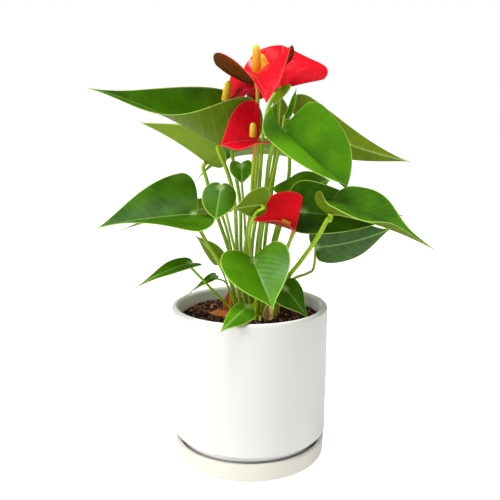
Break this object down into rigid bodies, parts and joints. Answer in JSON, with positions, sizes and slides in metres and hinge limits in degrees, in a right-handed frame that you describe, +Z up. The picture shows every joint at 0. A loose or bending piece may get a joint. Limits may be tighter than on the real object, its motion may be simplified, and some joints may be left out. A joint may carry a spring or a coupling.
{
  "type": "potted anthurium",
  "caption": "Flamingo-flower houseplant with heart-shaped green leaves and red spathes, growing in a white ceramic cylinder pot that stands in its saucer.",
  "frame": {"origin": "centre of the saucer's flat underside, on the surface that the part stands on", "axes": "+Z up through the pot's centre line, +X to the right and -Y to the front as the plant faces its viewer"},
  "size_m": [0.3012, 0.1926, 0.3935],
  "materials": {
    "glaze": "satin white glaze on an unmarked cylinder pot",
    "saucer_glaze": "matte cream glaze",
    "potting_mix": null,
    "leaf": null,
    "leaf_stalk": null,
    "spathe": null,
    "flower_stalk": null,
    "spadix": null,
    "dry_sheath": "dry papery orange-brown sheath"
  },
  "bodies": {
    "root": {"pot": "glaze", "saucer": "saucer_glaze", "soil": "potting_mix", "leaf_upper_left": "leaf", "stalk_upper_left": "leaf_stalk", "leaf_left_back": "leaf", "stalk_left_back": "leaf_stalk", "leaf_centre_back": "leaf", "stalk_centre_back": "leaf_stalk", "leaf_upper_right": "leaf", "stalk_upper_right": "leaf_stalk", "leaf_right_back": "leaf", "stalk_right_back": "leaf_stalk", "leaf_right": "leaf", "stalk_right": "leaf_stalk", "leaf_lower_right": "leaf", "stalk_lower_right": "leaf_stalk", "leaf_middle_back": "leaf", "stalk_middle_back": "leaf_stalk", "leaf_middle_right": "leaf", "stalk_middle_right": "leaf_stalk", "leaf_left": "leaf", "stalk_left": "leaf_stalk", "leaf_left_rear": "leaf", "leaf_round": "leaf", "stalk_round": "leaf_stalk", "leaf_young": "leaf", "stalk_young": "leaf_stalk", "leaf_bronze": "leaf", "stalk_bronze": "leaf_stalk", "leaf_front": "leaf", "stalk_front": "leaf_stalk", "leaf_over_rim": "leaf", "stalk_over_rim": "leaf_stalk", "leaf_front_right": "leaf", "stalk_front_right": "leaf_stalk", "leaf_lower_left": "leaf", "stalk_lower_left": "leaf_stalk", "leaf_seedling": "leaf", "leaf_faded": "leaf", "leaf_spear": "leaf", "leaf_unfurling": "leaf", "spathe_top": "spathe", "flower_stalk_top": "flower_stalk", "spadix_top": "spadix", "spathe_rear": "spathe", "flower_stalk_rear": "flower_stalk", "spadix_rear": "spadix", "spathe_left": "spathe", "flower_stalk_left": "flower_stalk", "spadix_left": "spadix", "spathe_middle": "spathe", "flower_stalk_middle": "flower_stalk", "spadix_middle": "spadix", "spathe_low": "spathe", "flower_stalk_low": "flower_stalk", "spadix_low": "spadix", "sheath_upright": "dry_sheath", "sheath_fallen": "dry_sheath", "sheath_pale": "dry_sheath"}
  },
  "joints": []
}
